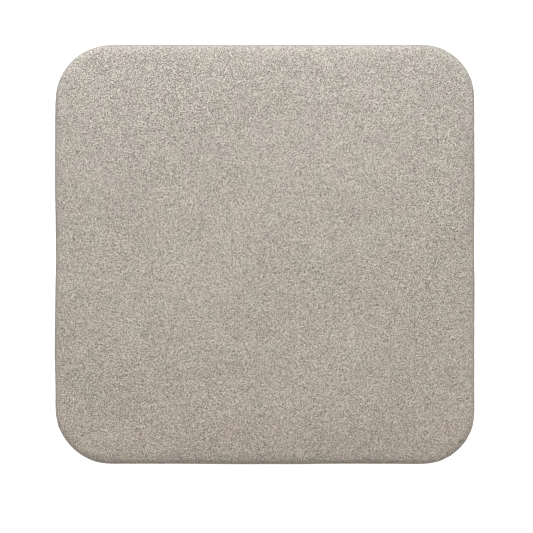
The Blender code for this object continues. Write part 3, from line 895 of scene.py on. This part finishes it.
def socket_shape():
    """Flange and bored boss, in a corner's frame, so that the boss leans with the leg."""
    lean = Matrix.Rotation(-SPLAY, 4, "Y")
    corner = FLANGE_WIDTH / 6
    flange = mesh_of(
        slab((FLANGE_WIDTH, FLANGE_WIDTH), -FLANGE_THICKNESS, 0, (corner, corner), (0, 0.0012), (8, 4))
    )
    flange.transform(Matrix.Rotation(math.pi / 4, 4, "Z"))
    boss = turned(
        [
            (0, -0.003, 0),
            (BOSS_RADII[1] + 0.0035, -0.003, 0),
            (BOSS_RADII[1] + 0.0035, -FLANGE_THICKNESS, 0),
            (BOSS_RADII[1] - 0.0002, -FLANGE_THICKNESS - 0.004, 0.0040),
            (BOSS_RADII[0] + 0.0004, -BOSS_LENGTH + 0.006, 0.002),
            (BOSS_RADII[0] + 0.0004, -BOSS_LENGTH, 0.0010),
            (0, -BOSS_LENGTH, 0),
        ]
    )
    socket = combined(flange, moved(boss, lean), "UNION")
    half = BOSS_RADII[1] + 0.01
    bore = rod(TUBE_RADIUS + GAP, -0.07, GAP - TUBE_TOP, lean, ROUND_STEPS)
    holes = [rod(RIVET_RADIUS + HOLE_CLEARANCE, -half, half, lean @ along_y(-RIVET_DROP))]
    for side in (-1, 1):
        place = Matrix.Translation((0, side * SCREW_OFFSET, 0))
        holes.append(rod(SCREW_RADIUS + HOLE_CLEARANCE, -0.01, 0.01, place))
    return combined(combined(socket, bore), joined(holes))


def shade_round(mesh):
    """Gives the walls of a drilled tube about Z the normals of a true round."""
    mesh.shade_smooth()
    mesh.set_sharp_from_angle(angle=math.radians(35))
    corners = np.empty(len(mesh.loops) * 3, np.float32)
    mesh.corner_normals.foreach_get("vector", corners)
    corners = corners.reshape(-1, 3)
    owners = np.empty(len(mesh.loops), np.int32)
    mesh.loops.foreach_get("vertex_index", owners)
    radial = coordinates(mesh)[owners] * (1, 1, 0)
    radial /= np.maximum(np.linalg.norm(radial, axis=1), 1e-9)[:, None]
    faces = np.empty(len(mesh.polygons) * 3, np.float32)
    mesh.polygons.foreach_get("normal", faces)
    sizes = np.empty(len(mesh.polygons), np.int32)
    mesh.polygons.foreach_get("loop_total", sizes)
    facing = np.sum(np.repeat(faces.reshape(-1, 3), sizes, axis=0) * radial, axis=1)
    wall = np.abs(facing) > 0.99
    corners[wall] = (radial * np.sign(facing)[:, None])[wall]
    mesh.normals_split_custom_set(corners.tolist())
    return mesh


def outer_tube_shape():
    """Outer tube, with a row of holes down its outer side for the snap button."""
    reach = TUBE_RADIUS + 0.01
    holes = [
        rod(HOLE_RADIUS, 0, reach, along_x(0, index * HOLE_PITCH - LOWEST_HOLE))
        for index in range(HOLE_COUNT)
    ]
    holes.append(rod(RIVET_RADIUS + HOLE_CLEARANCE, -reach, reach, along_y(-RIVET_DROP)))
    blank = tube(TUBE_RADIUS, TUBE_BORE, -TUBE_TOP, -TUBE_BOTTOM)
    return shade_round(combined(blank, joined(holes)))


def inner_tube_shape():
    """Inner tube, with one hole for the snap button; it stands on the foot's sole."""
    bottom = -(LEG_LENGTH - FOOT_SOLE - GAP)
    blank = tube(EXTENSION_RADIUS, EXTENSION_BORE, -EXTENSION_TOP, bottom)
    return shade_round(combined(blank, rod(HOLE_RADIUS, 0, 0.03, along_x(0, -LOWEST_HOLE))))


def collar_shape():
    """Collar on the outer tube's lower end, whose lip guides the inner tube."""
    lip_top = -TUBE_BOTTOM - GAP
    top = -TUBE_BOTTOM + COLLAR_LENGTH
    bottom = lip_top - COLLAR_LIP
    outer = TUBE_RADIUS + COLLAR_WALL
    bore = TUBE_RADIUS + GAP
    lip = EXTENSION_RADIUS + COLLAR_PLAY
    grooves = []
    for drop in COLLAR_GROOVES:
        middle = top - drop
        grooves += [
            (outer, middle + GROOVE_HALF_WIDTH, 0.0002),
            (outer - GROOVE_DEPTH, middle, 0.0004),
            (outer, middle - GROOVE_HALF_WIDTH, 0.0002),
        ]
    return turned(
        [
            (TUBE_RADIUS + COLLAR_RIM_WALL, top, 0.0004),
            (outer, top - 0.003, 0.0010),
            *grooves,
            (outer, bottom, 0.0010),
            (lip, bottom, 0.0004),
            (lip, lip_top, 0),
            (bore, lip_top, 0),
            (bore, top, 0.0002),
        ],
        closed=True,
    )


def foot_shape():
    """Ribbed rubber foot, cut level with the floor, with rings in its sole for grip."""
    floor_level = -LEG_LENGTH
    top = floor_level + FOOT_HEIGHT
    below = floor_level - 0.004  # cut off by the floor afterwards
    bore = EXTENSION_RADIUS + GAP
    neck = bore + FOOT_NECK_WALL
    ribs = []
    for height in FOOT_RIBS:
        level = floor_level + height
        ribs += [
            (neck, level + 0.0013, 0.0004),
            (neck - FOOT_RIB_DEPTH, level + 0.0005, 0.0003),
            (neck - FOOT_RIB_DEPTH, level - 0.0005, 0.0003),
            (neck, level - 0.0013, 0.0004),
        ]
    foot = turned(
        [
            (0, floor_level + FOOT_SOLE, 0),
            (bore, floor_level + FOOT_SOLE, 0),
            (bore, top, 0.0004),
            (bore + FOOT_RIM_WALL, top, 0.0010),
            (neck - 0.0002, top - 0.004, 0.0015),
            *ribs,
            (neck, floor_level + FOOT_FLARE[1], 0.0040),
            (FOOT_RADIUS - 0.0002, floor_level + FOOT_FLARE[0], 0.0022),
            (FOOT_RADIUS, below, 0),
            (0, below, 0),
        ]
    )
    level = Matrix.Translation((0, 0, floor_level)) @ Matrix.Rotation(SPLAY, 4, "Y")
    under = slab((0.1, 0.1), -0.02, 0, (0, 0), (0, 0))
    rings = [tube(radius + SOLE_RING_WIDTH, radius, SOLE_RING_DEPTH, -0.002, 0) for radius in SOLE_RINGS]
    foot = combined(foot, moved(mesh_of(under), level))
    return combined(foot, moved(joined(rings), level))


def button_shape():
    """Snap button along +X from the leg's axis: dome, shank and retaining flange."""
    inner, outer = BUTTON_FLANGE
    flange = BUTTON_RADIUS + BUTTON_FLANGE_LIP
    button = turned(
        [
            (0, BUTTON_TIP, 0),
            (0.66 * BUTTON_RADIUS, BUTTON_TIP, 0.0010),
            (BUTTON_RADIUS, BUTTON_SHOULDER, 0.0014),
            (BUTTON_RADIUS, outer, 0),
            (flange, outer, 0.0002),
            (flange, inner, 0.0002),
            (0, inner, 0),
        ],
        SMALL_STEPS,
    )
    return moved(button, along_x(0, -LOWEST_HOLE))


def clip_shape():
    """Clamp ring round the tube, with a level lug that points to the middle."""
    high = -CLIP_DROP + CLIP_HEIGHT / 2
    low = -CLIP_DROP - CLIP_HEIGHT / 2
    ring = turned(
        [(0, high, 0), (CLIP_RADIUS, high, 0.0014), (CLIP_RADIUS, low, 0.0014), (0, low, 0)]
    )
    level = Matrix.Translation((0, 0, -CLIP_DROP)) @ Matrix.Rotation(SPLAY, 4, "Y")
    half = LUG_THICKNESS / 2
    lug = slab(
        (LUG_REACH, STRIP_WIDTH + 0.002), -half, half, (0.008, 0), (0.0006, 0.0006), (10, 3)
    )
    bmesh.ops.translate(lug, vec=(-LUG_REACH / 2, 0, 0), verts=lug.verts)
    clip = combined(ring, moved(mesh_of(lug), level), "UNION")
    clip = combined(clip, rod(TUBE_RADIUS + GAP, low - 0.01, high + 0.01, None, ROUND_STEPS))
    place = level @ Matrix.Translation((-LUG_HOLE_REACH, 0, 0))
    return combined(clip, rod(SCREW_RADIUS + HOLE_CLEARANCE, -0.01, 0.01, place))


def leg_frames(corner):
    """(frame on the underside of the board with +X outwards, the same leaning with the leg)."""
    across, along = CORNERS[corner]
    place = Matrix.Translation((across * LEG_OFFSET, along * LEG_OFFSET, SOCKET_TOP))
    upright = place @ Matrix.Rotation(math.atan2(along, across), 4, "Z")
    return upright, upright @ Matrix.Rotation(-SPLAY, 4, "Y")


def spring_shape():
    """V-shaped strip of spring steel inside the extension; the arm at +X carries the button."""
    bm = bmesh.new()
    line = [bm.verts.new((x, -SPRING_WIDTH / 2, z - LOWEST_HOLE)) for x, z in SPRING_OUTLINE]
    edges = [bm.edges.new(pair) for pair in zip(line, line[1:])]
    strip = bmesh.ops.extrude_edge_only(bm, edges=edges)["geom"]
    far_side = [item for item in strip if isinstance(item, bmesh.types.BMVert)]
    bmesh.ops.translate(bm, vec=(0, SPRING_WIDTH, 0), verts=far_side)
    spring = link(bpy.data.objects.new("spring", mesh_of(bm)))
    solidify = spring.modifiers.new("Thickness", "SOLIDIFY")
    solidify.thickness = SPRING_THICKNESS
    solidify.offset = 0
    solidify.use_even_offset = True
    return baked(spring)


def make_legs():
    """The four legs: sockets and outer tubes on the seat, sliding inner tubes, and buttons."""
    screw = screw_shape(FLANGE_THICKNESS + 2 * GAP + SCREW_DEPTH)
    pair = []
    for side in (-1, 1):
        place = Matrix.Translation((0, side * SCREW_OFFSET, -FLANGE_THICKNESS - GAP))
        pair.append(moved(screw.copy(), place))
    screws = joined(pair)
    socket = socket_shape()
    spring = spring_shape()
    rivet = moved(rivet_shape(BOSS_RADII[1] - 0.0008), along_y(-RIVET_DROP))
    leaning = (
        ("outer_tube", outer_tube_shape(), "seat", "aluminium", "leg_tube"),
        ("tube_collar", collar_shape(), "seat", "socket_plastic", "leg_collar"),
        ("socket_rivet", rivet, "seat", "steel", "leg_rivet"),
        ("clamp", clip_shape(), "seat", "socket_plastic", "brace_clip"),
        ("inner_tube", inner_tube_shape(), "leg", "aluminium", "leg_extension"),
        ("rubber_foot", foot_shape(), "leg", "rubber", "foot"),
        ("button_pin", button_shape(), "button", "steel", "snap_button"),
    )
    for corner in CORNERS:
        upright, lean = leg_frames(corner)
        add_piece(
            f"socket_body_{corner}", socket, "seat", "socket_plastic", [f"leg_socket_{corner}"], upright
        )
        nodes = [f"socket_screw_{label}_{corner}" for label in "ab"]
        add_piece(f"socket_screws_{corner}", screws, "seat", "steel", nodes, upright)
        for name, mesh, body, slot, node in leaning:
            rider = body if body == "seat" else f"{body}_{corner}"
            add_piece(f"{name}_{corner}", mesh, rider, slot, [f"{node}_{corner}"], lean)
        nodes = [f"button_spring_{corner}"]
        leaf = add_piece(f"button_leaf_{corner}", spring, None, "spring_steel", nodes, lean)
        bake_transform(leaf)


def make_brace():
    """Two flat strips from leg to leg, over and under the lugs, riveted where they cross."""
    level = SOCKET_TOP - CLIP_DROP * math.cos(SPLAY)
    hole_reach = LEG_OFFSET * math.sqrt(2) + CLIP_DROP * math.sin(SPLAY) - LUG_HOLE_REACH
    strip_face = LUG_THICKNESS / 2 + GAP
    outer_face = strip_face + STRIP_THICKNESS + GAP
    length = 2 * (hole_reach + STRIP_WIDTH / 2)
    end = 0.45 * STRIP_WIDTH
    half = STRIP_THICKNESS / 2
    strip = mesh_of(slab((length, STRIP_WIDTH), -half, half, (end, end), (0.0006, 0.0006), (14, 4)))
    holes = [
        rod(radius + HOLE_CLEARANCE, -0.01, 0.01, Matrix.Translation((reach, 0, 0)))
        for radius, reach in (
            (SCREW_RADIUS, -hole_reach),
            (RIVET_RADIUS, 0),
            (SCREW_RADIUS, hole_reach),
        )
    ]
    strip = combined(strip, joined(holes))
    screw = screw_shape(STRIP_THICKNESS + LUG_THICKNESS + 0.002)
    ends = {"upper": ("front_left", "back_right"), "lower": ("front_right", "back_left")}
    for layer, side in (("upper", 1), ("lower", -1)):
        across, along = CORNERS[ends[layer][1]]
        turn = Matrix.Rotation(math.atan2(along, across), 4, "Z")
        lift = Matrix.Translation((0, 0, level + side * (strip_face + half)))
        add_piece(
            f"cross_strip_{layer}", strip, "seat", "aluminium", [f"brace_strip_{layer}"], lift @ turn
        )
        for corner in ends[layer]:
            across, along = CORNERS[corner]
            reach = hole_reach / math.sqrt(2)
            place = Matrix.Translation((across * reach, along * reach, level + side * outer_face))
            if side > 0:
                place = place @ Matrix.Rotation(math.pi, 4, "X")
            add_piece(
                f"clamp_screw_{corner}", screw, "seat", "steel", [f"brace_screw_{corner}"], place
            )
    centre = Matrix.Translation((0, 0, level))
    spacer = tube(SPACER_RADIUS, RIVET_RADIUS + HOLE_CLEARANCE, LUG_THICKNESS / 2, -LUG_THICKNESS / 2)
    add_piece("cross_spacer", spacer, "seat", "socket_plastic", ["brace_spacer"], centre)
    add_piece("cross_rivet", rivet_shape(outer_face), "seat", "steel", ["brace_rivet"], centre)


# ---------------------------------------------------------------------------
# Stage: floor, light and camera
# ---------------------------------------------------------------------------


FLOOR_HALF = 30.0
ROOM_COLOUR = (1.0, 0.980, 0.940, 1)
BRIGHT_SIDE = (0, 0.6, 0.8)  # the room is brightest overhead and behind the stool
ROOM_DIM = 0.34
ROOM_BRIGHT = 0.86
KEY_PLACE = (0, 0.95, 0.85)  # from the middle of the seat's top
KEY_SIZE = (1.0, 0.7)
KEY_POWER = 15.8
KEY_COLOUR = (0.93, 0.97, 1.0)
LENS = 85.0
SENSOR = 36.0
FRAME_WIDTH = SEAT_WIDTH / 0.7867  # what the view takes in, at the seat's widest level
WIDEST_DROP = 0.016  # from the seat's top down to that level
SHIFT = (0.0031, -0.0226)


def make_floor():
    """A wide, pale floor under the feet."""
    bm = bmesh.new()
    bmesh.ops.create_grid(bm, x_segments=8, y_segments=8, size=FLOOR_HALF)
    floor = link(bpy.data.objects.new("floor", mesh_of(bm, "floor")))
    floor.location.z = -0.0005
    floor.data.materials.append(floor_material())


def make_key_light():
    """A broad lamp behind the stool and above it."""
    lamp = bpy.data.lights.new("Key", "AREA")
    lamp.shape = "RECTANGLE"
    lamp.size, lamp.size_y = KEY_SIZE
    lamp.energy = KEY_POWER
    lamp.color = KEY_COLOUR
    obj = link(bpy.data.objects.new("Key", lamp))
    seat = Vector((0, 0, COVER_HIGH.z))
    obj.location = seat + Vector(KEY_PLACE)
    obj.rotation_euler = (-Vector(KEY_PLACE)).to_track_quat("-Z", "Y").to_euler()


def make_room_light():
    """Soft light from all round, dim near the horizon and brighter towards the bright side."""
    world = bpy.data.worlds.new("Soft white room")
    bpy.context.scene.world = world
    world.use_nodes = True
    tree = world.node_tree
    background = tree.nodes["Background"]
    background.inputs["Color"].default_value = ROOM_COLOUR
    direction = tree.nodes.new("ShaderNodeTexCoord").outputs["Generated"]
    toward = tree.nodes.new("ShaderNodeVectorMath")
    toward.operation = "DOT_PRODUCT"
    toward.inputs[1].default_value = BRIGHT_SIDE
    brightness = tree.nodes.new("ShaderNodeMapRange")
    brightness.inputs["From Min"].default_value = 0.0
    brightness.inputs["From Max"].default_value = 1.0
    brightness.inputs["To Min"].default_value = ROOM_DIM
    brightness.inputs["To Max"].default_value = ROOM_BRIGHT
    tree.links.new(direction, toward.inputs[0])
    tree.links.new(toward.outputs["Value"], brightness.inputs["Value"])
    tree.links.new(brightness.outputs["Result"], background.inputs["Strength"])


def make_camera():
    """Straight above the seat, with +Y towards the top of the picture."""
    camera = bpy.data.cameras.new("Camera")
    camera.lens = LENS
    camera.sensor_width = SENSOR
    camera.shift_x, camera.shift_y = SHIFT
    obj = link(bpy.data.objects.new("Camera", camera))
    obj.location = (0, 0, COVER_HIGH.z - WIDEST_DROP + FRAME_WIDTH * LENS / SENSOR)
    bpy.context.scene.camera = obj
    bpy.context.scene.view_settings.view_transform = "Standard"


make_camera()
make_room_light()
make_key_light()
make_floor()
make_cushion()
make_elastic()
make_board()
make_legs()
make_brace()
